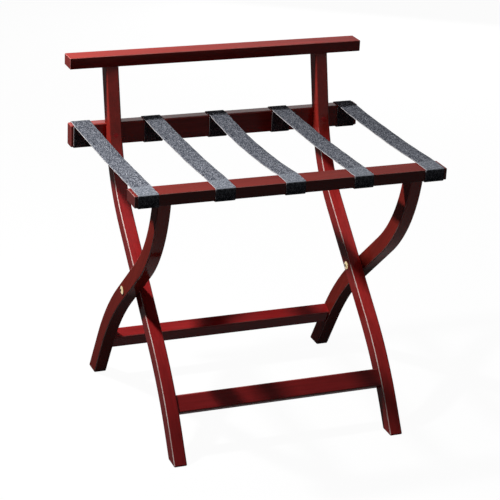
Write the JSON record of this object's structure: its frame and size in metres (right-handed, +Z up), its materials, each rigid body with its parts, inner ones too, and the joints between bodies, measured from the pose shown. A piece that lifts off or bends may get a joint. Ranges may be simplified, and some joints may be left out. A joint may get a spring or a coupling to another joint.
{
  "type": "hotel luggage bench",
  "caption": "Folding wooden luggage bench with a low back rail: crossed S-curved legs turn on brass pivots, and webbing straps join the seat rails to carry a bag.",
  "frame": {"origin": "on the floor straight below the pivot axis, midway between the left and right legs", "axes": "+X to the right along the rails, +Y from the front seat rail to the back rail, +Z up"},
  "size_m": [0.6, 0.4912, 0.646],
  "materials": {
    "lacquered_wood": "gloss mahogany-red lacquer",
    "dowel_wood": "bare beech",
    "webbing": "woven blue-grey webbing",
    "brass": "polished brass",
    "steel": "zinc-plated steel"
  },
  "bodies": {
    "back_frame": {"top_rail": "lacquered_wood", "back_seat_rail": "lacquered_wood", "left_back_leg": "lacquered_wood", "right_back_leg": "lacquered_wood", "front_stretcher": "lacquered_wood", "top_rail_dowels": "dowel_wood", "front_stretcher_dowels": "dowel_wood", "back_rail_screws": "steel", "back_rail_plugs": "lacquered_wood", "pivot_bolts": "brass", "pivot_nuts": "brass", "pivot_washers": "brass", "strap_left_outer": "webbing", "strap_left_inner": "webbing", "strap_middle": "webbing", "strap_right_inner": "webbing", "strap_right_outer": "webbing", "back_strap_staples": "steel"},
    "front_frame": {"front_seat_rail": "lacquered_wood", "left_front_leg": "lacquered_wood", "right_front_leg": "lacquered_wood", "rear_stretcher": "lacquered_wood", "front_rail_dowels": "dowel_wood", "rear_stretcher_dowels": "dowel_wood", "front_strap_staples": "steel"}
  },
  "joints": [
    {"name": "fold", "type": "hinge", "parent": "back_frame", "child": "front_frame", "pos_m": [0, 0, 0.254], "axis": [-1, 0, 0], "range_deg": [0, 65], "deforming": ["strap_left_outer", "strap_left_inner", "strap_middle", "strap_right_inner", "strap_right_outer"]}
  ]
}
